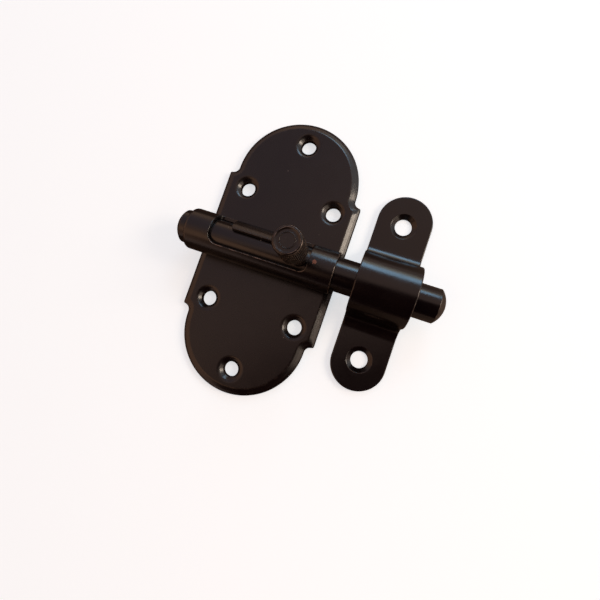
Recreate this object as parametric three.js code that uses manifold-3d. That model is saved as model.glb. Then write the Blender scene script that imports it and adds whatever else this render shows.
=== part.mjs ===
// Door bolt latch: a round sliding bolt in a slotted barrel on a pressed base plate, turned and drawn by
// a knurled knob, with a separate strap keeper that the bolt enters.
// Millimetres. X runs along the bolt towards the keeper, Y along the base plate and Z away from the plane
// that the latch is mounted on.
// Dimensions are given from the base plate's centre on its mounting plane. The finished latch is moved along
// X so that the origin lies halfway along the bolt, on the mounting plane.
import * as THREE from 'three';
import { mergeVertices } from 'three/addons/utils/BufferGeometryUtils.js';
import Module from 'manifold-3d';

const wasm = await Module();
wasm.setup();
const { Manifold, Mesh } = wasm;

// ---- driving dimensions ----
const PLATE = {
  halfWidth: 26.6, // mid section, at the mounting plane
  endRadius: 23.65, // round ends
  endCentre: 30.0, // distance of each end's centre from the origin, along Y
  shoulderY: 27.4, // where the wide mid section stops
  filletRadius: 2.45, // hollow fillet between an end and the mid section
  cornerRadius: 0.7, // of the mid section's corners, in plan
  height: 3.5, // mounting plane to top face
  sheet: 2.0,
  bevelWidth: 2.6,
  bevelDrop: 1.5,
  innerBevelDrop: 1.2, // inside the tray
};
const PLATE_HOLES = { endY: 44.7, sideX: 17.4, sideY: 22.4, radius: 2.8, rimRadius: 4.6, rimDepth: 1.3 };
const BOLT = { radius: 6.0, rearX: -33.8, tipX: 64.0, domeHeight: 2.6, axisZ: 11.1 };
const BARREL = { outer: 7.5, bore: 6.2, rearX: -28.9, frontX: 26.0, rearRound: 1.3, frontChamfer: 0.3 };
// The window is laid out on the unrolled barrel: x along the bolt, angle from +Y towards +Z.
const WINDOW = {
  leftX: -19.4,
  rightX: 16.8,
  lugLeftX: -12.5,
  lugRightX: 9.8,
  nearDeg: 122, // edge away from the knob's locked side
  lugDeg: 65.5, // edge of the lug that the knob's neck passes
  notchDeg: 8.5, // bottom of the two locking notches
  cornerLeft: 3.6,
  cornerRight: 2.4,
  cornerLug: 1.4,
  cornerNotch: 1.6,
};
const KNOB = {
  x: 13.7, // along the bolt, with the bolt thrown
  neckRadius: 2.4,
  neckTop: 9.0, // radii here are distances from the bolt's axis
  stemRadius: 2.7,
  spigotRadius: 1.9,
  spigotTop: 24.0,
  headBottom: 18.0,
  headTop: 31.8,
  headRadius: 4.45,
  headFoot: 0.9,
  headEdge: 0.5,
};
const KEEPER = {
  x: 43.5,
  halfWidth: 10.0,
  endCentre: 26.9,
  holeY: 25.6,
  holeRadius: 3.1,
  sinkRadius: 4.7,
  sinkDepth: 1.2,
  sheet: 2.0,
  humpRadius: 10.9,
  footBend: 5.0,
};
const WINDOW_WALK = 1.2; // spacing of the points along the window's straight edges
const WINDOW_REACH = 2; // the window cutter's outer radius, in barrel radii, so its facets clear the wall
const RUNNING_GAP = 0.3; // between pieces that move or sit against each other
const OVERCUT = 1; // how far a cutter runs past the face it cuts
const FAR = 200; // longer than anything that is cut
const ORIGIN_X = (BOLT.rearX + BOLT.tipX) / 2;

// ---- facet counts ----
const FACETS = { barrel: 72, bolt: 72, knob: 40, stem: 32, hole: 28, boss: 20, keeperHole: 36 };
const STEPS = {
  plateEnd: 28,
  plateFillet: 5,
  dome: 5,
  rearEdge: 4,
  windowCorner: 5,
  keeperBend: 12,
  keeperEnd: 20,
};

// ---- colours ----
function finish(color, roughness, metalness) {
  return new THREE.MeshStandardMaterial({ color, roughness, metalness });
}
const blackLacquer = () => finish(0x1c1715, 0.35, 0.6);
const brownBlackLacquer = () => finish(0x241b16, 0.3, 0.7);

// ---- solids ----
function toSolid(geometry) {
  const bare = geometry.clone();
  bare.deleteAttribute('normal');
  bare.deleteAttribute('uv');
  const merged = mergeVertices(bare, 1e-4);
  return new Manifold(
    new Mesh({
      numProp: 3,
      vertProperties: new Float32Array(merged.attributes.position.array),
      triVerts: new Uint32Array(merged.index.array),
    })
  );
}

function toGeometry(solid) {
  const { vertProperties, triVerts } = solid.getMesh();
  const geometry = new THREE.BufferGeometry();
  geometry.setAttribute('position', new THREE.BufferAttribute(vertProperties, 3));
  geometry.setIndex(new THREE.BufferAttribute(triVerts, 1));
  geometry.computeVertexNormals();
  return geometry;
}

// A body of revolution about X. Each profile point is [x, radius].
function turnedAboutX(profile, segments) {
  const points = profile.map(([x, radius]) => new THREE.Vector2(radius, x));
  return toSolid(new THREE.LatheGeometry(points, segments).rotateZ(-Math.PI / 2));
}

// A body of revolution about Z. Each profile point is [z, radius].
function turnedAboutZ(profile, segments) {
  const points = profile.map(([z, radius]) => new THREE.Vector2(radius, z));
  return toSolid(new THREE.LatheGeometry(points, segments).rotateX(Math.PI / 2));
}

function diskAt(x, y, profile, segments) {
  return turnedAboutZ(profile, segments).translate([x, y, 0]);
}

// The points of a dome's section, from its rim at rimX to its pole, as [x, radius].
function domeProfile(rimX, poleX, radius, steps) {
  const height = Math.abs(poleX - rimX);
  const sphere = (radius * radius + height * height) / (2 * height);
  const side = Math.sign(poleX - rimX);
  const spread = Math.asin(radius / sphere);
  return Array.from({ length: steps + 1 }, (_, i) => {
    const angle = spread * (1 - i / steps);
    return [poleX - side * sphere * (1 - Math.cos(angle)), sphere * Math.sin(angle)];
  });
}

// ---- base plate ----
function arcPoints(x, y, radius, fromAngle, toAngle, steps) {
  return Array.from({ length: steps + 1 }, (_, i) => {
    const angle = fromAngle + ((toAngle - fromAngle) * i) / steps;
    return new THREE.Vector2(x + radius * Math.cos(angle), y + radius * Math.sin(angle));
  });
}

// The plate's outline, moved inwards by inset: two straight sides, four hollow fillets and two round ends.
function plateOutline(inset) {
  const side = PLATE.halfWidth - inset;
  const end = PLATE.endRadius - inset;
  const fillet = PLATE.filletRadius + inset;
  const filletX = PLATE.endRadius + PLATE.filletRadius;
  const filletY = PLATE.shoulderY + PLATE.filletRadius;
  const sweep = Math.acos((filletX - side) / fillet);
  const { plateEnd, plateFillet } = STEPS;
  return new THREE.Shape([
    ...arcPoints(filletX, filletY, fillet, Math.PI + sweep, Math.PI, plateFillet),
    ...arcPoints(0, PLATE.endCentre, end, 0, Math.PI, plateEnd),
    ...arcPoints(-filletX, filletY, fillet, 0, -sweep, plateFillet),
    ...arcPoints(-filletX, -filletY, fillet, sweep, 0, plateFillet),
    ...arcPoints(0, -PLATE.endCentre, end, Math.PI, 2 * Math.PI, plateEnd),
    ...arcPoints(filletX, -filletY, fillet, Math.PI, Math.PI - sweep, plateFillet),
  ]);
}

// A block with the plate's outline at inset, flat at topZ, and bevelled down from there all round.
function bevelledBlock(inset, topZ, drop) {
  const geometry = new THREE.ExtrudeGeometry(plateOutline(inset + PLATE.bevelWidth), {
    depth: topZ,
    bevelSize: PLATE.bevelWidth,
    bevelThickness: drop,
    bevelSegments: 1,
  });
  return toSolid(geometry.translate(0, 0, -drop)).trimByPlane([0, 0, 1], 0);
}

// A wall-to-wall prism whose plan is the plate's outline with the mid section's corners rounded off.
function cornerTrim() {
  const { cornerRadius, halfWidth, filletRadius, endRadius, endCentre, shoulderY } = PLATE;
  const filletX = endRadius + filletRadius;
  const filletY = shoulderY + filletRadius;
  const cornerX = halfWidth - cornerRadius;
  const cornerY = filletY - Math.sqrt((filletRadius + cornerRadius) ** 2 - (filletX - cornerX) ** 2);
  const lean = Math.atan2(filletY - cornerY, filletX - cornerX);
  const { plateEnd, plateFillet } = STEPS;
  const half = [
    ...arcPoints(cornerX, cornerY, cornerRadius, 0, lean, plateFillet),
    ...arcPoints(filletX, filletY, filletRadius, Math.PI + lean, Math.PI, plateFillet),
    ...arcPoints(0, endCentre, endRadius, 0, Math.PI, plateEnd),
    ...arcPoints(-filletX, filletY, filletRadius, 0, -lean, plateFillet),
    ...arcPoints(-cornerX, cornerY, cornerRadius, Math.PI - lean, Math.PI, plateFillet),
  ];
  const otherHalf = half.map(({ x, y }) => new THREE.Vector2(-x, -y));
  const outline = new THREE.Shape([...half, ...otherHalf]);
  return toSolid(new THREE.ExtrudeGeometry(outline, { bevelEnabled: false, depth: PLATE.height }));
}

// The screw holes sit in dimples, and the sheet keeps its thickness under each of them.
function basePlate() {
  const { height, sheet, bevelDrop, innerBevelDrop } = PLATE;
  const { endY, sideX, sideY, radius, rimRadius, rimDepth } = PLATE_HOLES;
  const shell = bevelledBlock(0, height, bevelDrop).intersect(cornerTrim());
  let solid = shell.subtract(bevelledBlock(sheet, height - sheet, innerBevelDrop));
  const bossFoot = height - rimDepth - sheet;
  const bossTop = height - sheet / 2;
  const boss = [
    [bossFoot, 0],
    [bossFoot, radius + sheet],
    [bossTop, rimRadius + sheet],
    [bossTop, 0],
  ];
  const dimple = [
    [height - rimDepth, 0],
    [height - rimDepth, radius + RUNNING_GAP],
    [height, rimRadius],
    [height + OVERCUT, rimRadius + OVERCUT],
    [height + OVERCUT, 0],
  ];
  const hole = [
    [-OVERCUT, 0],
    [-OVERCUT, radius],
    [height, radius],
    [height, 0],
  ];
  const spots = [
    [0, endY],
    [0, -endY],
    [sideX, sideY],
    [-sideX, sideY],
    [sideX, -sideY],
    [-sideX, -sideY],
  ];
  for (const [x, y] of spots) {
    solid = solid.add(diskAt(x, y, boss, FACETS.boss).intersect(shell));
    solid = solid.subtract(diskAt(x, y, dimple, FACETS.hole)).subtract(diskAt(x, y, hole, FACETS.hole));
  }
  return solid;
}

// ---- barrel ----
// Adds evenly spaced points from the end of path up to, but not including, goal.
function walkTo(path, goal) {
  const last = path[path.length - 1].clone();
  const steps = Math.ceil(last.distanceTo(goal) / WINDOW_WALK);
  for (let k = 1; k < steps; k++) path.push(last.clone().lerp(goal, k / steps));
}

// The window's outline on the unrolled barrel: x along the bolt, y the arc length at the outer surface.
function windowOutline() {
  const arc = (degrees) => THREE.MathUtils.degToRad(degrees) * BARREL.outer;
  const { leftX, rightX, lugLeftX, lugRightX } = WINDOW;
  const [near, lug, notch] = [arc(WINDOW.nearDeg), arc(WINDOW.lugDeg), arc(WINDOW.notchDeg)];
  const corners = [
    [leftX, near, WINDOW.cornerLeft],
    [leftX, notch, WINDOW.cornerNotch],
    [lugLeftX, notch, WINDOW.cornerNotch],
    [lugLeftX, lug, WINDOW.cornerLug],
    [lugRightX, lug, WINDOW.cornerLug],
    [lugRightX, notch, WINDOW.cornerNotch],
    [rightX, notch, WINDOW.cornerNotch],
    [rightX, near, WINDOW.cornerRight],
  ];
  const path = [];
  corners.forEach(([x, y, radius], i) => {
    const before = corners[(i + corners.length - 1) % corners.length];
    const after = corners[(i + 1) % corners.length];
    const inwards = new THREE.Vector2(before[0] - x, before[1] - y).normalize();
    const onwards = new THREE.Vector2(after[0] - x, after[1] - y).normalize();
    const start = new THREE.Vector2(x, y).addScaledVector(inwards, radius);
    const centre = start.clone().addScaledVector(onwards, radius);
    if (path.length) walkTo(path, start);
    for (let k = 0; k <= STEPS.windowCorner; k++) {
      const turn = ((Math.PI / 2) * k) / STEPS.windowCorner;
      const point = centre.clone().addScaledVector(onwards, -radius * Math.cos(turn));
      path.push(point.addScaledVector(inwards, -radius * Math.sin(turn)));
    }
  });
  walkTo(path, path[0]);
  return path;
}

// The window's cutter: its outline wrapped round the barrel and extended radially through the wall.
function windowCutter() {
  const outline = windowOutline();
  const innerRadius = BARREL.bore - OVERCUT;
  const outerRadius = BARREL.outer * WINDOW_REACH;
  const geometry = new THREE.ExtrudeGeometry(new THREE.Shape(outline), { depth: 1, bevelEnabled: false });
  const position = geometry.attributes.position;
  for (let i = 0; i < position.count; i++) {
    const radius = position.getZ(i) > 0 ? innerRadius : outerRadius;
    const angle = position.getY(i) / BARREL.outer;
    position.setXYZ(i, position.getX(i), radius * Math.cos(angle), radius * Math.sin(angle));
  }
  return toSolid(geometry);
}

function barrel() {
  const { outer, bore, rearX, frontX, rearRound, frontChamfer } = BARREL;
  const rearEdge = Array.from({ length: STEPS.rearEdge + 1 }, (_, i) => {
    const turn = ((Math.PI / 2) * i) / STEPS.rearEdge;
    return [rearX + rearRound * (1 - Math.cos(turn)), outer - rearRound * (1 - Math.sin(turn))];
  });
  const frontEdge = [[frontX - frontChamfer, outer], [frontX, outer - frontChamfer], [frontX, bore]];
  const profile = [[rearX, bore], ...rearEdge, ...frontEdge, [rearX, bore]];
  return turnedAboutX(profile, FACETS.barrel).subtract(windowCutter()).translate([0, 0, BOLT.axisZ]);
}

// ---- bolt and knob ----
function bolt() {
  const { radius, rearX, tipX, domeHeight, axisZ } = BOLT;
  const rear = domeProfile(rearX + domeHeight, rearX, radius, STEPS.dome).reverse();
  const tip = domeProfile(tipX - domeHeight, tipX, radius, STEPS.dome);
  return turnedAboutX([...rear, ...tip], FACETS.bolt).translate([0, 0, axisZ]);
}

// The knob's pieces stand square to the plate. Heights are measured from the bolt's axis.
function knobStem() {
  const { neckRadius, neckTop, stemRadius, spigotRadius, spigotTop, headBottom } = KNOB;
  const foot = BOLT.radius - OVERCUT;
  const shoulder = headBottom - RUNNING_GAP;
  const profile = [
    [foot, 0],
    [foot, neckRadius],
    [neckTop - (stemRadius - neckRadius), neckRadius],
    [neckTop, stemRadius],
    [shoulder, stemRadius],
    [shoulder, spigotRadius],
    [spigotTop, spigotRadius],
    [spigotTop, 0],
  ];
  const clearance = BOLT.radius + RUNNING_GAP;
  const rod = [
    [-FAR, 0],
    [-FAR, clearance],
    [FAR, clearance],
    [FAR, 0],
  ];
  const stem = turnedAboutZ(profile, FACETS.stem).subtract(turnedAboutX(rod, FACETS.bolt));
  return stem.translate([KNOB.x, 0, BOLT.axisZ]);
}

function knobHead() {
  const { headBottom, headTop, headRadius, headFoot, headEdge, spigotRadius, spigotTop } = KNOB;
  const bore = spigotRadius + RUNNING_GAP;
  const profile = [
    [headBottom, bore],
    [headBottom, headRadius - headFoot],
    [headBottom + headFoot, headRadius],
    [headTop - headEdge, headRadius],
    [headTop, headRadius - headEdge],
    [headTop, 0],
    [spigotTop + RUNNING_GAP, 0],
    [spigotTop + RUNNING_GAP, bore],
    [headBottom, bore],
  ];
  return turnedAboutZ(profile, FACETS.knob).translate([KNOB.x, 0, BOLT.axisZ]);
}

// ---- keeper ----
// The strap's section across the bolt, as a closed outline of y and z.
function keeperSection() {
  const { humpRadius, footBend, sheet, endCentre, halfWidth } = KEEPER;
  const end = endCentre + halfWidth + OVERCUT;
  const bendY = humpRadius + footBend;
  const bendZ = sheet + footBend;
  const [down, right] = [-Math.PI / 2, 0];
  const steps = STEPS.keeperBend;
  return new THREE.Shape([
    new THREE.Vector2(-end, 0),
    ...arcPoints(-bendY, bendZ, bendZ, down, right, steps),
    ...arcPoints(0, BOLT.axisZ, humpRadius - sheet, Math.PI, 0, 2 * steps),
    ...arcPoints(bendY, bendZ, bendZ, Math.PI, Math.PI * 1.5, steps),
    new THREE.Vector2(end, 0),
    new THREE.Vector2(end, sheet),
    ...arcPoints(bendY, bendZ, footBend, Math.PI * 1.5, Math.PI, steps),
    ...arcPoints(0, BOLT.axisZ, humpRadius, 0, Math.PI, 2 * steps),
    ...arcPoints(-bendY, bendZ, footBend, right, down, steps),
    new THREE.Vector2(-end, sheet),
  ]);
}

// The strap's outline seen from above: straight sides and fully round ends.
function keeperPlan() {
  const { halfWidth, endCentre } = KEEPER;
  return new THREE.Shape([
    ...arcPoints(0, endCentre, halfWidth, 0, Math.PI, STEPS.keeperEnd),
    ...arcPoints(0, -endCentre, halfWidth, Math.PI, 2 * Math.PI, STEPS.keeperEnd),
  ]);
}

function keeper() {
  const { halfWidth, holeY, holeRadius, sinkRadius, sinkDepth, sheet, x } = KEEPER;
  const width = 2 * (halfWidth + OVERCUT);
  const strip = new THREE.ExtrudeGeometry(keeperSection(), { bevelEnabled: false, depth: width });
  strip.rotateX(Math.PI / 2).rotateZ(Math.PI / 2).translate(-width / 2, 0, 0);
  const plan = new THREE.ExtrudeGeometry(keeperPlan(), { bevelEnabled: false, depth: FAR });
  plan.translate(0, 0, -FAR / 2);
  const hole = [
    [-OVERCUT, 0],
    [-OVERCUT, holeRadius],
    [sheet - sinkDepth, holeRadius],
    [sheet, sinkRadius],
    [sheet + OVERCUT, sinkRadius + OVERCUT],
    [sheet + OVERCUT, 0],
  ];
  const blank = toSolid(strip).intersect(toSolid(plan));
  const pierced = blank.subtract(diskAt(0, holeY, hole, FACETS.keeperHole));
  return pierced.subtract(diskAt(0, -holeY, hole, FACETS.keeperHole)).translate([x, 0, 0]);
}

// ---- assembly ----
function piece(name, solid, material) {
  const mesh = new THREE.Mesh(toGeometry(solid.translate([-ORIGIN_X, 0, 0])), material);
  mesh.name = name;
  return mesh;
}

const latch = new THREE.Group();
latch.add(piece('base_plate', basePlate(), blackLacquer()));
latch.add(piece('barrel', barrel(), brownBlackLacquer()));
latch.add(piece('bolt', bolt(), brownBlackLacquer()));
latch.add(piece('knob_stem', knobStem(), brownBlackLacquer()));
latch.add(piece('knob_head', knobHead(), brownBlackLacquer()));
latch.add(piece('keeper', keeper(), blackLacquer()));

export default latch;
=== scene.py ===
import math

import bmesh
import bpy
import numpy as np
from mathutils import Matrix, Vector
from mathutils.geometry import delaunay_2d_cdt


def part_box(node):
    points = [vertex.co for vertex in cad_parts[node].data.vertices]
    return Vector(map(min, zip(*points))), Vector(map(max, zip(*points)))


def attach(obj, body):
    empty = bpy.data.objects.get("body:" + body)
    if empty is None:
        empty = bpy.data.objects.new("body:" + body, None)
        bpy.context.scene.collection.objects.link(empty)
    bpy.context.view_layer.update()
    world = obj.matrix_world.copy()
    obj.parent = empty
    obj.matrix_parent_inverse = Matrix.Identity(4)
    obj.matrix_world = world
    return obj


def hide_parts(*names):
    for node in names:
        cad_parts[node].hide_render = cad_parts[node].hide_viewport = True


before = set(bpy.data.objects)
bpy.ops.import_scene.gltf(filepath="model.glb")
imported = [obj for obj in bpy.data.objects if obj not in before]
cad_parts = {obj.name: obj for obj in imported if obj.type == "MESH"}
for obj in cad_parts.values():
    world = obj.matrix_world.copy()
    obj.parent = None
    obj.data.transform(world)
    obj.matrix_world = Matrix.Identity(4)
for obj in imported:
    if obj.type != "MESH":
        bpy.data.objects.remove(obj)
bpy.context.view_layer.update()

# A door bolt latch: pressed base plate, slotted barrel, round bolt, knurled knob and strap keeper.
# All shape code below is in millimetres from the base plate's centre on its mounting plane; +X runs
# along the bolt to the keeper and +Z away from the door. build() moves and scales it into the frame.
# The dimensions that the CAD parts' boxes don't give are those of part.mjs.

MM = 0.001
PLATE_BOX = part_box("base_plate")
BARREL_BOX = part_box("barrel")
BOLT_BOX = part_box("bolt")
HEAD_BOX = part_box("knob_head")
KEEPER_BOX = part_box("keeper")
PLATE_X = (PLATE_BOX[0].x + PLATE_BOX[1].x) / 2 / MM
AXIS_Z = (BOLT_BOX[0].z + BOLT_BOX[1].z) / 2 / MM

# ---- dimensions ----
PLATE_HALF_WIDTH = (PLATE_BOX[1].x - PLATE_BOX[0].x) / 2 / MM
PLATE_TOP = PLATE_BOX[1].z / MM
PLATE_END_RADIUS = 23.65
PLATE_END_CENTRE = 30.0
PLATE_SHOULDER_Y = 27.4
PLATE_FILLET = 2.45
PLATE_CORNER = 0.7
PLATE_BEVEL_WIDTH = 2.6
PLATE_BEVEL_DROP = 1.5
PLATE_SHEET = 2.0
PLATE_HOLES = [(0, 44.7), (0, -44.7), (17.4, 22.4), (-17.4, 22.4), (17.4, -22.4), (-17.4, -22.4)]
PLATE_HOLE_RADIUS = 2.8
DIMPLE_RADIUS = 4.6
DIMPLE_DEPTH = 1.3

BARREL_RADIUS = (BARREL_BOX[1].y - BARREL_BOX[0].y) / 2 / MM
BARREL_BORE = 6.2
BARREL_REAR = BARREL_BOX[0].x / MM - PLATE_X
BARREL_FRONT = BARREL_BOX[1].x / MM - PLATE_X
WINDOW_LEFT, WINDOW_RIGHT = -19.4, 16.8
LUG_LEFT, LUG_RIGHT = -12.5, 9.8
WINDOW_NEAR_DEG, LUG_DEG, NOTCH_DEG = 122, 65.5, 8.5

BOLT_RADIUS = (BOLT_BOX[1].y - BOLT_BOX[0].y) / 2 / MM
BOLT_REAR = BOLT_BOX[0].x / MM - PLATE_X
BOLT_TIP = BOLT_BOX[1].x / MM - PLATE_X
DOME_HEIGHT = 2.6

KNOB_X = (HEAD_BOX[0].x + HEAD_BOX[1].x) / 2 / MM - PLATE_X
KNOB_NECK, KNOB_STEM, KNOB_HEAD = 2.4, 2.7, 4.45
KNOB_STEP = 9.0
KNOB_HEAD_FOOT = HEAD_BOX[0].z / MM - AXIS_Z
KNOB_TOP = HEAD_BOX[1].z / MM - AXIS_Z
KNURLS_ROUND = 26
KNURL_PITCH = 1.9
KNURL_DEPTH = 0.42
KNURL_END = 0.75  # plain band left at each end of the knurl
KNURL_RUN_OUT = 0.3  # length over which the knurl fades at each end
KNURL_CREST = 0.82  # the diamonds' tops are cut flat at this share of their full height
KNURL_WORN = 0.55  # the lacquer is worn above this share of the diamonds' height

KEEPER_X = (KEEPER_BOX[0].x + KEEPER_BOX[1].x) / 2 / MM - PLATE_X
KEEPER_HALF_WIDTH = 10.0
KEEPER_SHEET = 2.0
KEEPER_HUMP = 10.9
KEEPER_BEND = 5.0
KEEPER_END_CENTRE = 26.9
KEEPER_HOLE_Y = 25.6
KEEPER_HOLE_RADIUS = 3.1
KEEPER_SINK_RADIUS = 4.7
KEEPER_SINK_DEPTH = 1.2

SUPPORT = 0.12  # spacing of the loops that hold a rounded edge's shading in place


# ---- paths ----
def rounded_path(corners, arc_steps=5):
    """corners are (a, b, radius, wear); returns (a, b, wear) points with each corner turned into an arc."""
    path = []
    for i, (a, b, radius, wear) in enumerate(corners):
        here = Vector((a, b))
        if radius == 0 or i in (0, len(corners) - 1):
            path.append((a, b, wear))
            continue
        back = Vector(corners[i - 1][:2]) - here
        onward = Vector(corners[i + 1][:2]) - here
        reach_back, reach_on = back.length, onward.length
        back.normalize()
        onward.normalize()
        half = back.angle(onward) / 2
        tangent = radius / math.tan(half)
        centre = here + (back + onward).normalized() * (radius / math.sin(half))
        start = here + back * tangent - centre
        stop = here + onward * tangent - centre
        turn = start.angle_signed(stop)
        if tangent + SUPPORT < reach_back:
            path.append((*(here + back * (tangent + SUPPORT)), 0.0))
        for k in range(arc_steps + 1):
            share = k / arc_steps
            arm = start.copy()
            arm.rotate(Matrix.Rotation(-turn * share, 2))
            point = centre + arm
            path.append((point.x, point.y, wear * math.sin(math.pi * share)))
        if tangent + SUPPORT < reach_on:
            path.append((*(here + onward * (tangent + SUPPORT)), 0.0))
    return path


def arc(x, y, radius, start, stop, steps):
    """Points on a round stretch about (x, y), both ends included."""
    angles = np.linspace(start, stop, steps + 1)
    return [(x + radius * math.cos(t), y + radius * math.sin(t)) for t in angles]


def circle(x, y, radius, steps):
    """The points of a whole circle, each once."""
    return arc(x, y, radius, 0, 2 * math.pi, steps)[:-1]


def split(start, stop, steps):
    """Points from start up to, but not including, stop, in that many steps."""
    (x0, y0), (x1, y1) = start, stop
    return [(x0 + (x1 - x0) * k / steps, y0 + (y1 - y0) * k / steps) for k in range(steps)]


def evenly(start, stop, spacing):
    """The same, with points about spacing apart."""
    return split(start, stop, max(1, round(math.dist(start, stop) / spacing)))


# ---- mesh building ----
class Shell:
    """The vertices and faces of one closed piece, with a wear value at each vertex."""

    def __init__(self):
        self.points, self.faces, self.wear = [], [], []

    def ring(self, points, wear=0.0):
        first = len(self.points)
        self.points += [tuple(p) for p in points]
        worn = wear if hasattr(wear, "__len__") else [wear] * len(points)
        self.wear += list(worn)
        return list(range(first, len(self.points)))

    def bridge(self, ring_a, ring_b, closed=True):
        count = len(ring_a)
        for i in range(count if closed else count - 1):
            j = (i + 1) % count
            self.faces.append((ring_a[i], ring_a[j], ring_b[j], ring_b[i]))

    def fan(self, ring, centre):
        for i in range(len(ring)):
            self.faces.append((ring[i], ring[(i + 1) % len(ring)], centre))


def inside(points, loop):
    """Which of the points lie inside the closed loop."""
    points, loop = np.asarray(points, float), np.asarray(loop, float)
    after = np.roll(loop, -1, axis=0)
    result = np.zeros(len(points), bool)
    for (x0, y0), (x1, y1) in zip(loop, after):
        if y0 == y1:
            continue
        crosses = (points[:, 1] > min(y0, y1)) & (points[:, 1] <= max(y0, y1))
        at = x0 + (points[:, 1] - y0) * (x1 - x0) / (y1 - y0)
        result ^= crosses & (points[:, 0] < at)
    return result


def fill(shell, outer, holes, place, grid=None, clear=0.2):
    """Fills the flat region between outer and the holes, on grid points where given, and places it."""
    loops = [outer, *holes]
    points, edges = [], []
    for loop in loops:
        first = len(points)
        points += loop
        edges += [(first + i, first + (i + 1) % len(loop)) for i in range(len(loop))]
    if grid is not None:
        grid = np.asarray(grid, float)
        keep = inside(grid, outer)
        for hole in holes:
            keep &= ~inside(grid, hole)
        rim = np.asarray(points, float)
        keep_index = np.flatnonzero(keep)
        gaps = np.hypot(
            grid[keep_index, None, 0] - rim[None, :, 0], grid[keep_index, None, 1] - rim[None, :, 1]
        ).min(axis=1)
        points += [tuple(p) for p in grid[keep_index[gaps > clear]]]
    flat, _, triangles, *_ = delaunay_2d_cdt([Vector(p) for p in points], edges, [], 0, 1e-7)
    flat = np.array([tuple(p) for p in flat])
    triangles = np.array([tuple(t) for t in triangles])
    middles = flat[triangles].mean(axis=1)
    keep = inside(middles, outer)
    for hole in holes:
        keep &= ~inside(middles, hole)
    ring = shell.ring([place(x, y) for x, y in flat])
    shell.faces += [tuple(ring[i] for i in triangle) for triangle in triangles[keep]]


def sleeve(shell, loop, path, place, closed=True, rub=None):
    """Lofts the loop(offset) outlines along path, whose points are (offset, height, wear).
    rub(x, y) scales the wear from place to place."""
    previous = None
    for offset, height, wear in path:
        outline = loop(offset)
        worn = [wear * rub(x, y) for x, y in outline] if rub else wear
        ring = shell.ring([place(x, y, height) for x, y in outline], worn)
        if previous:
            shell.bridge(previous, ring, closed)
        previous = ring


def turned(shell, path, segments, place, shape=None):
    """A body of revolution: path is (axial, radius, wear); place(axial, radius, angle) gives a point."""
    angles = [2 * math.pi * i / segments for i in range(segments)]
    previous = None
    for axial, radius, wear in path:
        if radius < 1e-6:
            ring = shell.ring([place(axial, 0, 0)], wear)
        elif shape:
            made = [shape(axial, radius, angle, wear) for angle in angles]
            ring = shell.ring([place(axial, r, a) for (r, _), a in zip(made, angles)], [w for _, w in made])
        else:
            ring = shell.ring([place(axial, radius, angle) for angle in angles], wear)
        if previous and len(previous) == 1 and len(ring) > 1:
            shell.fan(ring, previous[0])
        elif previous and len(ring) == 1:
            shell.fan(previous, ring[0])
        elif previous:
            shell.bridge(previous, ring)
        previous = ring


def build(name, shell, material, body, nodes):
    """Makes the Blender object, ties it to its CAD body and hides the CAD nodes it takes the place of."""
    mesh = bpy.data.meshes.new(name)
    points = [((x + PLATE_X) * MM, y * MM, z * MM) for x, y, z in shell.points]
    mesh.from_pydata(points, [], shell.faces)
    worn = mesh.attributes.new("wear", "FLOAT", "POINT")
    worn.data.foreach_set("value", np.asarray(shell.wear, np.float32))
    work = bmesh.new()
    work.from_mesh(mesh)
    bmesh.ops.remove_doubles(work, verts=work.verts, dist=1e-7)
    bmesh.ops.dissolve_degenerate(work, edges=work.edges, dist=1e-8)
    bmesh.ops.recalc_face_normals(work, faces=work.faces)
    work.to_mesh(mesh)
    work.free()
    mesh.shade_smooth()
    piece = bpy.data.objects.new(name, mesh)
    bpy.context.scene.collection.objects.link(piece)
    piece.data.materials.append(material)
    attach(piece, body)
    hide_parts(*nodes)


# ---- materials ----
WORN_STEEL, DUST, RUST = (0.42, 0.31, 0.25), (0.36, 0.29, 0.25), (0.34, 0.13, 0.08)
# scales of the textures, in cells per metre: the larger, the finer
CLOUDS, SHEEN, WEAR, PEEL, GRAIN = 38, 150, 420, 900, 2600
SPECKS, RUST_EDGE = 310, 1500
DUSTY_CELLS = 0.1  # share of the Voronoi cells that hold a speck
RINGS_X, RINGS_Z = (5200, 5, 5), (5, 5, 4200)  # turning marks round the bolt and round the knob


def ramp(nodes, links, value, low, high):
    """A node that maps value from low..high to 0..1, held at both ends."""
    node = nodes.new("ShaderNodeMapRange")
    node.inputs["From Min"].default_value = low
    node.inputs["From Max"].default_value = high
    links.new(value, node.inputs["Value"])
    return node.outputs["Result"]


def noise(
    nodes, links, coordinates, scale, detail=4.0, roughness=0.55, stretch=(1, 1, 1), offset=(0, 0, 0)
):
    mapping = nodes.new("ShaderNodeMapping")
    mapping.inputs["Scale"].default_value = stretch
    mapping.inputs["Location"].default_value = offset
    links.new(coordinates, mapping.inputs["Vector"])
    node = nodes.new("ShaderNodeTexNoise")
    node.inputs["Scale"].default_value = scale
    node.inputs["Detail"].default_value = detail
    node.inputs["Roughness"].default_value = roughness
    links.new(mapping.outputs["Vector"], node.inputs["Vector"])
    return node.outputs["Fac"]


def math_node(nodes, links, operation, a, b):
    """The result of an operation on two sockets or numbers."""
    node = nodes.new("ShaderNodeMath")
    node.operation = operation
    for socket, value in zip(node.inputs, (a, b)):
        if isinstance(value, (int, float)):
            socket.default_value = value
        else:
            links.new(value, socket)
    return node.outputs["Value"]


def blend_colour(nodes, links, factor, a, b):
    """Colour a where factor is 0 and colour b where it is 1; each is a socket or a tuple."""
    node = nodes.new("ShaderNodeMix")
    node.data_type = "RGBA"
    links.new(factor, node.inputs["Factor"])
    for socket, value in zip((node.inputs[6], node.inputs[7]), (a, b)):
        if isinstance(value, tuple):
            socket.default_value = (*value, 1)
        else:
            links.new(value, socket)
    return node.outputs[2]


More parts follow.
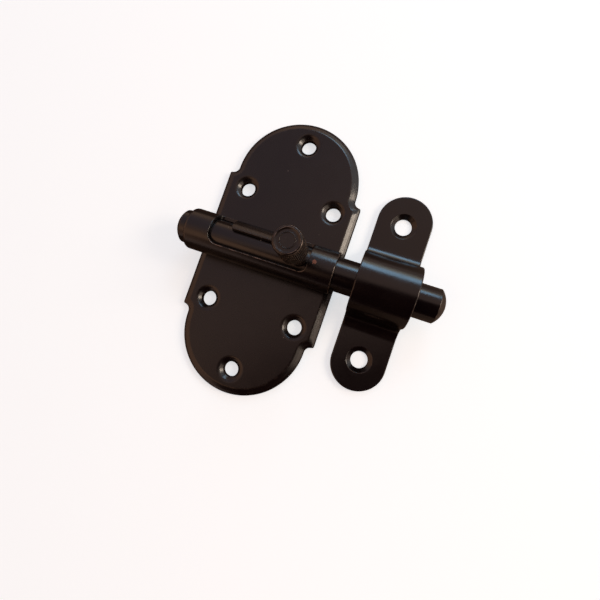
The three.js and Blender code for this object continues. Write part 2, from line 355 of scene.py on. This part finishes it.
def dust_specks(nodes, links, coordinates):
    """Tiny round spots, only in some cells."""
    cells = nodes.new("ShaderNodeTexVoronoi")
    cells.inputs["Scale"].default_value = SPECKS
    links.new(coordinates, cells.inputs["Vector"])
    dot = ramp(nodes, links, cells.outputs["Distance"], 0.085, 0.045)
    pick = nodes.new("ShaderNodeSeparateColor")
    links.new(cells.outputs["Color"], pick.inputs["Color"])
    chosen = math_node(nodes, links, "GREATER_THAN", pick.outputs["Red"], 1 - DUSTY_CELLS)
    specks = math_node(nodes, links, "MULTIPLY", dot, chosen)
    return math_node(nodes, links, "MULTIPLY", specks, 0.35)


def rust_mark(nodes, links, coordinates, place, size):
    """One ragged spot about size across, in metres, at a place on the piece."""
    away = nodes.new("ShaderNodeVectorMath")
    away.operation = "DISTANCE"
    away.inputs[1].default_value = place
    links.new(coordinates, away.inputs[0])
    edge = noise(nodes, links, coordinates, RUST_EDGE, 4, 0.6)
    ragged = math_node(nodes, links, "MULTIPLY", edge, 1.6 * size)
    reach = math_node(nodes, links, "ADD", away.outputs["Value"], ragged)
    mark = ramp(nodes, links, reach, 1.5 * size, 1.32 * size)
    return math_node(nodes, links, "MULTIPLY", mark, 0.8)


def lacquer(name, dark, warm, gloss, seed, wear_amount=0.6, lathe=None, rust=None):
    """Brown-black lacquer on steel: cloudy colour, orange peel, specks, and metal on worn edges.
    gloss is the lowest roughness, lathe the turning marks' depth and stretch, rust a mark's place and size.
    """
    material = bpy.data.materials.new(name)
    material.use_nodes = True
    nodes, links = material.node_tree.nodes, material.node_tree.links
    shader = nodes["Principled BSDF"]
    coordinates = nodes.new("ShaderNodeTexCoord").outputs["Object"]
    attribute = nodes.new("ShaderNodeAttribute")
    attribute.attribute_name = "wear"

    shift = (seed, -seed, 2 * seed)
    clouds = ramp(nodes, links, noise(nodes, links, coordinates, CLOUDS, offset=shift), 0.35, 0.68)
    colour = blend_colour(nodes, links, clouds, dark, warm)
    peel = noise(nodes, links, coordinates, PEEL, 3, 0.5, offset=shift)
    grain = noise(nodes, links, coordinates, GRAIN, 5, 0.65, offset=shift)

    # worn edges: the wear attribute, broken up by noise
    patchy = noise(nodes, links, coordinates, WEAR, 6, 0.7, offset=shift)
    patches = ramp(nodes, links, patchy, 0.44, 0.62)
    rubbed = math_node(nodes, links, "MULTIPLY", attribute.outputs["Fac"], patches)
    rubbed = math_node(nodes, links, "MULTIPLY", rubbed, wear_amount)
    colour = blend_colour(nodes, links, rubbed, colour, WORN_STEEL)
    colour = blend_colour(nodes, links, dust_specks(nodes, links, coordinates), colour, DUST)

    relief = math_node(nodes, links, "MULTIPLY", peel, 0.6)
    fine = math_node(nodes, links, "MULTIPLY", grain, 0.25)
    relief = math_node(nodes, links, "ADD", relief, fine)
    if lathe:
        depth, stretch = lathe
        rings = noise(nodes, links, coordinates, 1.0, 4, 0.6, stretch=stretch, offset=shift)
        rings = math_node(nodes, links, "MULTIPLY", rings, depth)
        relief = math_node(nodes, links, "ADD", relief, rings)
    if rust:
        mark = rust_mark(nodes, links, coordinates, *rust)
        colour = blend_colour(nodes, links, mark, colour, RUST)
        relief = math_node(nodes, links, "SUBTRACT", relief, mark)

    links.new(colour, shader.inputs["Base Color"])
    links.new(rubbed, shader.inputs["Metallic"])
    matt = ramp(nodes, links, noise(nodes, links, coordinates, SHEEN, 5, 0.6, offset=shift), 0.3, 0.75)
    rough = math_node(nodes, links, "MULTIPLY", matt, 0.10)
    rough = math_node(nodes, links, "ADD", rough, gloss)
    scuffed = math_node(nodes, links, "MULTIPLY", rubbed, 0.18)
    rough = math_node(nodes, links, "ADD", rough, scuffed)
    links.new(rough, shader.inputs["Roughness"])
    shader.inputs["IOR"].default_value = 1.65
    shader.inputs["Coat Weight"].default_value = 0.35
    shader.inputs["Coat Roughness"].default_value = 0.22
    bump = nodes.new("ShaderNodeBump")
    bump.inputs["Strength"].default_value = 0.12
    bump.inputs["Distance"].default_value = 0.00012
    links.new(relief, bump.inputs["Height"])
    links.new(bump.outputs["Normal"], shader.inputs["Normal"])
    return material


RUST_PLACE = ((19.0 + PLATE_X) * MM, 0.6 * MM, (AXIS_Z + 7.5) * MM)  # on the barrel, beside the knob
plate_paint = lacquer("plate_lacquer", (0.0050, 0.0025, 0.0025), (0.0090, 0.0048, 0.0042), 0.22, 0.31)
keeper_paint = lacquer("keeper_lacquer", (0.0035, 0.0016, 0.0017), (0.0060, 0.0030, 0.0028), 0.17, 1.7)
barrel_paint = lacquer(
    "barrel_lacquer", (0.0035, 0.0018, 0.0020), (0.0065, 0.0035, 0.0032), 0.21, 2.9,
    wear_amount=0.9, rust=(RUST_PLACE, 0.0011),
)
bolt_paint = lacquer(
    "bolt_lacquer", (0.0030, 0.0016, 0.0020), (0.0060, 0.0034, 0.0032), 0.17, 4.3, lathe=(0.5, RINGS_X)
)
knob_paint = lacquer(
    "knob_lacquer", (0.0060, 0.0036, 0.0030), (0.0120, 0.0075, 0.0058), 0.2, 5.9,
    wear_amount=0.7, lathe=(0.9, RINGS_Z),
)


# ---- base plate ----
def plate_outline(inset):
    """The plate's outline moved inwards: straight sides, rounded corners, hollow fillets and round ends."""
    end = PLATE_END_RADIUS - inset
    fillet = PLATE_FILLET + inset
    corner = max(PLATE_CORNER - inset, 0.0)
    x, y = PLATE_END_RADIUS + PLATE_FILLET, PLATE_SHOULDER_Y + PLATE_FILLET
    corner_x = PLATE_HALF_WIDTH - inset - corner
    corner_y = y - math.sqrt((fillet + corner) ** 2 - (x - corner_x) ** 2)
    lean = math.atan2(y - corner_y, x - corner_x)
    half = arc(corner_x, corner_y, corner, 0, lean, 8)[:-1]
    half += arc(x, y, fillet, math.pi + lean, math.pi, 14)
    half += arc(0, PLATE_END_CENTRE, end, 0, math.pi, 90)[1:]
    half += arc(-x, y, fillet, 0, -lean, 14)[1:]
    half += arc(-corner_x, corner_y, corner, math.pi - lean, math.pi, 8)[1:]
    side = PLATE_HALF_WIDTH - inset
    half += split((-side, corner_y), (-side, -corner_y), 27)[1:]
    return half + [(-px, -py) for px, py in half]


def flat_place(x, y, z=0.0):
    return (x, y, z)


def make_plate():
    shell = Shell()
    top, foot = PLATE_TOP, PLATE_TOP - PLATE_SHEET
    edge = PLATE_TOP - PLATE_BEVEL_DROP
    inner = PLATE_SHEET + PLATE_BEVEL_WIDTH
    outer_path = rounded_path(
        [
            (PLATE_BEVEL_WIDTH + 0.6, top, 0, 0),
            (PLATE_BEVEL_WIDTH, top, 1.6, 0.12),
            (PLATE_BEVEL_WIDTH * 0.45, top - PLATE_BEVEL_DROP * 0.47, 2.5, 0.1),
            (0, edge, 0.55, 0.5),
            (0, 0, 0.15, 0.3),
            (PLATE_SHEET, 0, 0.15, 0),
            (PLATE_SHEET, edge - 1.7, 0.15, 0),
            (inner - 0.2, foot, 0.3, 0),
            (inner + 0.2, foot, 0, 0),
        ]
    )
    sleeve(shell, plate_outline, outer_path, flat_place)
    # dimple: (radius, height), from the face, down through the hole and round the dimple's back
    hole_path = rounded_path(
        [
            (DIMPLE_RADIUS + 0.75, top, 0, 0),
            (DIMPLE_RADIUS - 0.25, top, 2.2, 0.05),
            (PLATE_HOLE_RADIUS, top - DIMPLE_DEPTH, 0.4, 0.6),
            (PLATE_HOLE_RADIUS, foot - DIMPLE_DEPTH, 0.12, 0.3),
            (PLATE_HOLE_RADIUS + 0.6, foot - DIMPLE_DEPTH, 0.15, 0),
            (PLATE_HOLE_RADIUS + 0.9, foot, 0.15, 0),
            (PLATE_HOLE_RADIUS + 1.2, foot, 0, 0),
        ]
    )
    face_holes, back_holes = [], []
    for x, y in PLATE_HOLES:
        def ring(radius, x=x, y=y):
            return circle(x, y, radius, 64)

        sleeve(shell, ring, hole_path, flat_place)
        face_holes.append(ring(hole_path[0][0]))
        back_holes.append(ring(hole_path[-1][0]))
    fill(shell, plate_outline(outer_path[0][0]), face_holes, lambda x, y: (x, y, top))
    fill(shell, plate_outline(outer_path[-1][0]), back_holes, lambda x, y: (x, y, foot))
    build("plate", shell, plate_paint, "base", ["base_plate"])


# ---- barrel ----
BARREL_STEPS = 144
SKIN_STEP = 1.3  # spacing of the points along the barrel
SEAM = -math.pi / 2  # the seam of the unrolled barrel, where it sits on the plate


def barrel_place(x, along, height=0.0):
    """A point of the unrolled barrel: x along the bolt, along the outer surface, height above it."""
    angle = along / BARREL_RADIUS
    radius = BARREL_RADIUS + height
    return (x, radius * math.cos(angle), AXIS_Z + radius * math.sin(angle))


def window_outline(offset):
    """The window's outline on the unrolled barrel, moved into the metal by offset."""
    near = math.radians(WINDOW_NEAR_DEG) * BARREL_RADIUS + offset
    lug = math.radians(LUG_DEG) * BARREL_RADIUS - offset
    notch = math.radians(NOTCH_DEG) * BARREL_RADIUS - offset
    left, right = WINDOW_LEFT - offset, WINDOW_RIGHT + offset
    lug_left, lug_right = LUG_LEFT + offset, LUG_RIGHT - offset
    corners = [
        (left, near, 3.6 + offset),
        (left, notch, 1.6 + offset),
        (lug_left, notch, 1.6 + offset),
        (lug_left, lug, 1.4 - offset),
        (lug_right, lug, 1.4 - offset),
        (lug_right, notch, 1.6 + offset),
        (right, notch, 1.6 + offset),
        (right, near, 2.4 + offset),
    ]
    lengths = [16, 1, 12, 34, 12, 1, 16, 56]  # how many points each straight stretch is given
    loop = []
    count = len(corners)
    for i, (x, y, radius) in enumerate(corners):
        here = Vector((x, y))
        back = (Vector(corners[i - 1][:2]) - here).normalized()
        onward = (Vector(corners[(i + 1) % count][:2]) - here).normalized()
        centre = here + (back + onward) * radius
        for k in range(9):
            turn = math.pi / 2 * k / 8
            loop.append(tuple(centre - onward * radius * math.cos(turn) - back * radius * math.sin(turn)))
        nx, ny, next_radius = corners[(i + 1) % count]
        start = here + onward * radius
        stop = Vector((nx, ny)) - onward * next_radius
        steps = lengths[i]
        loop += [tuple(start.lerp(stop, k / steps)) for k in range(1, steps)]
    return loop


def make_barrel():
    shell = Shell()
    wall = BARREL_RADIUS - BARREL_BORE
    angles = [SEAM + 2 * math.pi * i / BARREL_STEPS for i in range(BARREL_STEPS + 1)]
    along = [angle * BARREL_RADIUS for angle in angles]

    def end_loop(x):
        return [(x, a) for a in along]

    rear_path = rounded_path(
        [
            (BARREL_REAR + 2.4, 0, 0, 0),
            (BARREL_REAR, 0, 1.25, 0.25),
            (BARREL_REAR, -wall, 0.2, 0.3),
            (BARREL_REAR + 0.8, -wall, 0, 0),
        ]
    )
    front_path = rounded_path(
        [
            (BARREL_FRONT - 1.0, 0, 0, 0),
            (BARREL_FRONT, 0, 0.3, 0.8),
            (BARREL_FRONT, -wall, 0.2, 0.4),
            (BARREL_FRONT - 0.8, -wall, 0, 0),
        ]
    )
    for path in (rear_path, front_path):
        sleeve(shell, end_loop, path, barrel_place, closed=False)
    window_path = rounded_path(
        [
            (0.8, 0, 0, 0),
            (0, 0, 0.22, 1.0),
            (0, -wall, 0.15, 0.2),
            (0.5, -wall, 0, 0),
        ]
    )
    handled = math.radians(WINDOW_NEAR_DEG - 25) * BARREL_RADIUS

    def rub(_, around):
        """The near edge of the window is rubbed bright; the rest of it hardly at all."""
        return 1.0 if around > handled else 0.25

    sleeve(shell, window_outline, window_path, barrel_place, rub=rub)

    def skin(end, height):
        rear, front, hole = rear_path[end][0], front_path[end][0], window_outline(window_path[end][0])
        stations = [x for x, _ in evenly((rear, 0), (front, 0), SKIN_STEP)] + [front]
        outer = end_loop(rear)[:-1]
        outer += [(x, along[-1]) for x in stations]
        outer += [(front, a) for a in reversed(along[:-1])][:-1]
        outer += [(x, along[0]) for x in reversed(stations)][:-1]
        grid = [(x, a) for x in stations[1:-1] for a in along[1:-1]]
        fill(shell, outer, [hole], lambda x, y: barrel_place(x, y, height), grid)

    skin(0, 0.0)
    skin(-1, -wall)
    build("barrel_sleeve", shell, barrel_paint, "base", ["barrel"])


# ---- bolt ----
def make_bolt():
    shell = Shell()
    sphere = (BOLT_RADIUS**2 + DOME_HEIGHT**2) / (2 * DOME_HEIGHT)
    spread = math.asin(BOLT_RADIUS / sphere)

    def dome(pole, side):
        """Points from the pole outwards; side is the way the dome faces."""
        points = []
        for k in range(15):
            turn = spread * 0.93 * k / 14
            points.append((pole - side * sphere * (1 - math.cos(turn)), sphere * math.sin(turn), 0.15))
        return points

    rear_rim, tip_rim = BOLT_REAR + DOME_HEIGHT, BOLT_TIP - DOME_HEIGHT
    body = rounded_path(
        [
            (*dome(BOLT_REAR, -1)[-1][:2], 0, 0.2),
            (rear_rim, BOLT_RADIUS, 0.5, 0.5),
            (tip_rim, BOLT_RADIUS, 0.35, 1.0),
            (*dome(BOLT_TIP, 1)[-1][:2], 0, 0.4),
        ]
    )
    path = dome(BOLT_REAR, -1)[:-1] + body + dome(BOLT_TIP, 1)[::-1][1:]

    def place(x, radius, angle):
        return (x, radius * math.cos(angle), AXIS_Z + radius * math.sin(angle))

    turned(shell, path, 144, place)
    build("bolt_rod", shell, bolt_paint, "bolt", ["bolt"])


# ---- knob ----
def knob_place(height, radius, angle):
    """A point of the upright knob: height above the bolt's axis."""
    return (KNOB_X + radius * math.cos(angle), radius * math.sin(angle), AXIS_Z + height)


def make_stem():
    shell = Shell()
    step = KNOB_STEM - KNOB_NECK
    path = rounded_path(
        [
            (BOLT_RADIUS - 0.7, 0, 0, 0),
            (BOLT_RADIUS - 0.7, KNOB_NECK, 0.1, 0),
            (KNOB_STEP - step, KNOB_NECK, 0.15, 0),
            (KNOB_STEP, KNOB_STEM, 0.15, 0.9),
            (KNOB_HEAD_FOOT + 0.6, KNOB_STEM, 0, 0),
            (KNOB_HEAD_FOOT + 0.6, 0, 0, 0),
        ]
    )
    turned(shell, path, 96, knob_place)
    build("stem", shell, knob_paint, "knob", ["knob_stem"])


def make_head():
    shell = Shell()
    foot, top = KNOB_HEAD_FOOT, KNOB_TOP
    start, stop = foot + KNURL_END, top - KNURL_END
    base = KNOB_HEAD - KNURL_DEPTH
    knurl = [(z, base, 0) for z, _ in evenly((start, 0), (stop, 0), KNURL_PITCH / 12)]
    path = rounded_path(
        [
            (foot + 0.9, 0, 0, 0),
            (foot + 0.9, KNOB_STEM + 0.05, 0, 0),
            (foot, KNOB_STEM + 0.05, 0.1, 0),
            (foot, base - 0.7, 0.25, 0),
            (foot + 0.7, base, 0, 0),
        ]
    )
    path += knurl
    path += rounded_path(
        [
            (stop, base, 0, 0),
            (top - 0.5, KNOB_HEAD - 0.06, 0, 0.6),
            (top - 0.14, KNOB_HEAD - 0.3, 0.2, 1.4),
            (top, KNOB_HEAD - 0.8, 0.3, 1.4),
            (top - 0.2, KNOB_HEAD - 1.4, 0.2, 0.3),
            (top - 0.2, KNOB_HEAD - 2.0, 0.1, 0.1),
            (top - 0.12, KNOB_HEAD - 2.2, 0.1, 0.6),
            (top - 0.2, KNOB_HEAD - 2.4, 0.1, 0.1),
            (top - 0.2, 0, 0, 0.1),
        ]
    )

    def tooth(phase):
        """A triangle wave: 0 in the groove, 1 on the crest."""
        return 1 - abs(2 * (phase % 1.0) - 1)

    def knurled(z, radius, angle, wear):
        """The radius and wear at a point, with the diamonds raised on the knurled stretch."""
        if not start <= z <= stop:
            return radius, wear
        around = KNURLS_ROUND * angle / (2 * math.pi)
        along = (z - foot) / KNURL_PITCH
        height = min(tooth(around + along), tooth(around - along), KNURL_CREST) / KNURL_CREST
        ends = max(0.0, min(1.0, (z - start) / KNURL_RUN_OUT, (stop - z) / KNURL_RUN_OUT))
        worn = max(0.0, height - KNURL_WORN) / (1 - KNURL_WORN)
        return radius + KNURL_DEPTH * height * ends, worn

    turned(shell, path, 12 * KNURLS_ROUND, knob_place, knurled)
    build("knurled_head", shell, knob_paint, "knob", ["knob_head"])


# ---- keeper ----
STRAP_ROWS = 0.45  # spacing of the points along the strap
STRAP_COLUMNS = 11  # points across it


def keeper_place(x, along, height=0.0):
    """A point of the flattened strap: along its length from the hump's crown, height above its outer face."""
    middle = KEEPER_SHEET / 2
    hump, bend = KEEPER_HUMP - middle, KEEPER_BEND + middle
    side = 1 if along >= 0 else -1
    left = abs(along)
    wall_foot = KEEPER_SHEET + KEEPER_BEND
    lengths = (hump * math.pi / 2, AXIS_Z - wall_foot, bend * math.pi / 2)
    if left <= lengths[0]:
        angle = math.pi / 2 - left / hump
        y, z = hump * math.cos(angle), AXIS_Z + hump * math.sin(angle)
        out = (math.cos(angle), math.sin(angle))
    elif left <= lengths[0] + lengths[1]:
        y, z, out = hump, AXIS_Z - (left - lengths[0]), (1.0, 0.0)
    elif left <= sum(lengths):
        angle = (left - lengths[0] - lengths[1]) / bend
        y = KEEPER_HUMP + KEEPER_BEND - bend * math.cos(angle)
        z = wall_foot - bend * math.sin(angle)
        out = (math.cos(angle), math.sin(angle))
    else:
        y, z = KEEPER_HUMP + KEEPER_BEND + (left - sum(lengths)), middle
        out = (0.0, 1.0)
    lift = middle + height
    return (KEEPER_X + x, side * (y + out[0] * lift), z + out[1] * lift)


def keeper_along(y):
    """The distance along the flattened strap of a point y out on the flat foot."""
    arcs = (KEEPER_HUMP + KEEPER_BEND) * math.pi / 2
    return arcs + AXIS_Z - KEEPER_SHEET - KEEPER_BEND + y - KEEPER_HUMP - KEEPER_BEND


def keeper_outline(inset):
    """The flattened strap's outline moved inwards: straight sides and round ends."""
    centre = keeper_along(KEEPER_END_CENTRE)
    radius = KEEPER_HALF_WIDTH - inset
    loop = arc(0, centre, radius, 0, math.pi, 60)
    loop += evenly((-radius, centre), (-radius, -centre), 0.55)[1:]
    loop += arc(0, -centre, radius, math.pi, 2 * math.pi, 60)
    loop += evenly((radius, -centre), (radius, centre), 0.55)[1:]
    return loop


def make_keeper():
    shell = Shell()
    sheet = KEEPER_SHEET
    edge_path = rounded_path([(0.9, 0, 0, 0), (0, 0, 0.4, 0.5), (0, -sheet, 0.2, 0.3), (0.6, -sheet, 0, 0)])
    sleeve(shell, keeper_outline, edge_path, keeper_place)
    hole_path = rounded_path(
        [
            (KEEPER_SINK_RADIUS + 1.0, 0, 0, 0),
            (KEEPER_SINK_RADIUS, 0, 0.45, 0.25),
            (KEEPER_HOLE_RADIUS, -KEEPER_SINK_DEPTH, 0.15, 0.9),
            (KEEPER_HOLE_RADIUS, -sheet, 0.12, 0.2),
            (KEEPER_HOLE_RADIUS + 0.6, -sheet, 0, 0),
        ]
    )
    faces, backs = [], []
    for y in (KEEPER_HOLE_Y, -KEEPER_HOLE_Y):
        def ring(radius, y=y):
            return circle(0, math.copysign(keeper_along(abs(y)), y), radius, 72)

        sleeve(shell, ring, hole_path, keeper_place)
        faces.append(ring(hole_path[0][0]))
        backs.append(ring(hole_path[-1][0]))
    reach = keeper_along(KEEPER_END_CENTRE + KEEPER_HALF_WIDTH)
    rows = np.arange(-reach, reach, STRAP_ROWS)
    columns = np.linspace(1 - KEEPER_HALF_WIDTH, KEEPER_HALF_WIDTH - 1, STRAP_COLUMNS)
    grid = [(x, s) for x in columns for s in rows]
    fill(shell, keeper_outline(edge_path[0][0]), faces, lambda x, y: keeper_place(x, y, 0.0), grid)
    fill(shell, keeper_outline(edge_path[-1][0]), backs, lambda x, y: keeper_place(x, y, -sheet), grid)
    build("keeper_strap", shell, keeper_paint, "keeper", ["keeper"])


make_plate()
make_barrel()
make_bolt()
make_stem()
make_head()
make_keeper()


# ---- floor, world and lights ----
# Patches of the surroundings, set to match the reflections in the photograph:
# name, azimuth, elevation, degrees to the patch's full and faded edges, colour.
ROOM_TONE = (0.36, 0.245, 0.21)
ROOM = [
    ("grey wall", 140, 48, 12, 34, (0.26, 0.20, 0.22)),
    ("pale wall", 45, 28, 14, 34, (0.50, 0.49, 0.50)),
    ("copper wall", 205, 25, 18, 44, (0.52, 0.28, 0.18)),
    ("warm strip", 110, 6, 8, 20, (0.56, 0.36, 0.26)),
    ("dark viewer", 300, 40, 44, 55, (0.012, 0.004, 0.006)),
    ("copper glow", 232, 50, 7, 17, (0.68, 0.38, 0.24)),
]


def look_from(position, target, roll=0.0):
    """A matrix at position whose -Z axis points at target and whose +Y axis is up, turned by roll."""
    away = (Vector(position) - Vector(target)).normalized()
    up = Vector((0, 1, 0)) if abs(away.z) > 0.9 else Vector((0, 0, 1))
    right = up.cross(away).normalized()
    axes = Matrix((right, away.cross(right), away)).transposed().to_4x4()
    return Matrix.Translation(position) @ axes @ Matrix.Rotation(roll, 4, "Z")


def make_floor():
    mesh = bpy.data.meshes.new("floor")
    half = 3.0
    corners = [(-half, -half, 0), (half, -half, 0), (half, half, 0), (-half, half, 0)]
    mesh.from_pydata(corners, [], [(0, 1, 2, 3)])
    floor = bpy.data.objects.new("floor", mesh)
    bpy.context.scene.collection.objects.link(floor)
    material = bpy.data.materials.new("floor_pale")
    material.use_nodes = True
    nodes, links = material.node_tree.nodes, material.node_tree.links
    shader = nodes["Principled BSDF"]
    coordinates = nodes.new("ShaderNodeTexCoord").outputs["Object"]
    mottle = noise(nodes, links, coordinates, 3, 3)
    tint = blend_colour(nodes, links, mottle, (0.83, 0.83, 0.82), (0.87, 0.87, 0.865))
    links.new(tint, shader.inputs["Base Color"])
    shader.inputs["Roughness"].default_value = 0.8
    shader.inputs["Specular IOR Level"].default_value = 0.1
    shader.inputs["Emission Color"].default_value = (0.93, 0.97, 1.0, 1)
    shader.inputs["Emission Strength"].default_value = 0.66
    # every ray but the camera's sees a warm table top with painted light in its colour: dim on the left and
    # bright on the right
    dim = nodes.new("ShaderNodeBsdfDiffuse")
    sides = nodes.new("ShaderNodeSeparateXYZ")
    links.new(coordinates, sides.inputs[0])
    painted_light_rightward = ramp(nodes, links, sides.outputs["X"], 0.02, 0.11)
    table_painted_light = blend_colour(nodes, links, painted_light_rightward, (0.12, 0.08, 0.06), (0.62, 0.50, 0.40))
    links.new(table_painted_light, dim.inputs["Color"])
    mix = nodes.new("ShaderNodeMixShader")
    links.new(nodes.new("ShaderNodeLightPath").outputs["Is Camera Ray"], mix.inputs[0])
    links.new(dim.outputs[0], mix.inputs[1])
    links.new(shader.outputs[0], mix.inputs[2])
    links.new(mix.outputs[0], nodes["Material Output"].inputs["Surface"])
    mesh.materials.append(material)


def aim(azimuth, elevation):
    """The unit vector towards a place in the room, in degrees from +X and above the floor."""
    turn, rise = math.radians(azimuth), math.radians(elevation)
    return Vector((math.cos(rise) * math.cos(turn), math.cos(rise) * math.sin(turn), math.sin(rise)))


def make_world():
    """A dim brown room, dark behind the viewer. Camera rays see a plain pale backdrop instead."""
    world = bpy.data.worlds.new("studio")
    bpy.context.scene.world = world
    world.use_nodes = True
    nodes, links = world.node_tree.nodes, world.node_tree.links
    room, seen = nodes["Background"], nodes.new("ShaderNodeBackground")
    direction = nodes.new("ShaderNodeTexCoord").outputs["Generated"]

    def patch(tone, azimuth, elevation, full, fade, colour):
        """Lays a round patch of the room over tone: whole within full degrees of its centre, gone at fade."""
        node = nodes.new("ShaderNodeVectorMath")
        node.operation = "DOT_PRODUCT"
        node.inputs[1].default_value = aim(azimuth, elevation)
        links.new(direction, node.inputs[0])
        edge, core = math.cos(math.radians(fade)), math.cos(math.radians(full))
        share = ramp(nodes, links, node.outputs["Value"], edge, core)
        share.node.interpolation_type = "SMOOTHSTEP"
        return blend_colour(nodes, links, share, tone, colour)

    tone = ROOM_TONE
    for _, *place_and_colour in ROOM:
        tone = patch(tone, *place_and_colour)
    links.new(tone, room.inputs["Color"])
    room.inputs["Strength"].default_value = 1.0
    seen.inputs["Color"].default_value = (0.97, 0.97, 0.965, 1)
    mix = nodes.new("ShaderNodeMixShader")
    links.new(nodes.new("ShaderNodeLightPath").outputs["Is Camera Ray"], mix.inputs[0])
    links.new(room.outputs[0], mix.inputs[1])
    links.new(seen.outputs[0], mix.inputs[2])
    links.new(mix.outputs[0], nodes["World Output"].inputs["Surface"])


def soft_light(name, azimuth, elevation, distance, size, radiance, colour):
    """A soft box facing the latch, with its width and height in metres and its brightness."""
    light = bpy.data.lights.new(name, "AREA")
    light.shape = "RECTANGLE"
    light.size, light.size_y = size
    light.energy = radiance * math.pi * size[0] * size[1]
    light.color = colour
    lamp = bpy.data.objects.new(name, light)
    bpy.context.scene.collection.objects.link(lamp)
    lamp.matrix_world = look_from(aim(azimuth, elevation) * distance, (0, 0, 0.01))


# the photograph's viewpoint, from its perspective: in metres from the plate's centre
CAMERA_PLACE = (0.03686, -0.01881, 0.13961)
CAMERA_TARGET = (0.01583, -0.01193, 0.0)
CAMERA_ROLL_DEG = 19.13
CAMERA_LENS = 22.5


def make_camera():
    """Close above the latch, leaning a little, with a wide lens."""
    camera = bpy.data.cameras.new("camera")
    camera.sensor_width = 36.0
    camera.lens = CAMERA_LENS
    camera.clip_start = 0.005
    eye = bpy.data.objects.new("camera", camera)
    bpy.context.scene.collection.objects.link(eye)
    plate = Vector((PLATE_X * MM, 0, 0))
    place, target = plate + Vector(CAMERA_PLACE), plate + Vector(CAMERA_TARGET)
    eye.matrix_world = look_from(place, target, math.radians(CAMERA_ROLL_DEG))
    bpy.context.scene.camera = eye


make_floor()
make_world()
# azimuth, elevation, distance, size, brightness, colour
soft_light("window_right", 19, 35, 0.7, (0.22, 0.22), 8.5, (1.0, 0.84, 0.68))
soft_light("wall_right", -12, 34, 0.9, (0.40, 0.36), 1.1, (1.0, 0.78, 0.62))
soft_light("sky_back", 86, 35, 0.8, (0.30, 0.21), 4.0, (0.38, 0.70, 1.0))
soft_light("sky_low", 88, 23, 0.8, (0.34, 0.15), 0.95, (1.0, 0.97, 0.72))
make_camera()
bpy.context.scene.view_settings.view_transform = "Standard"
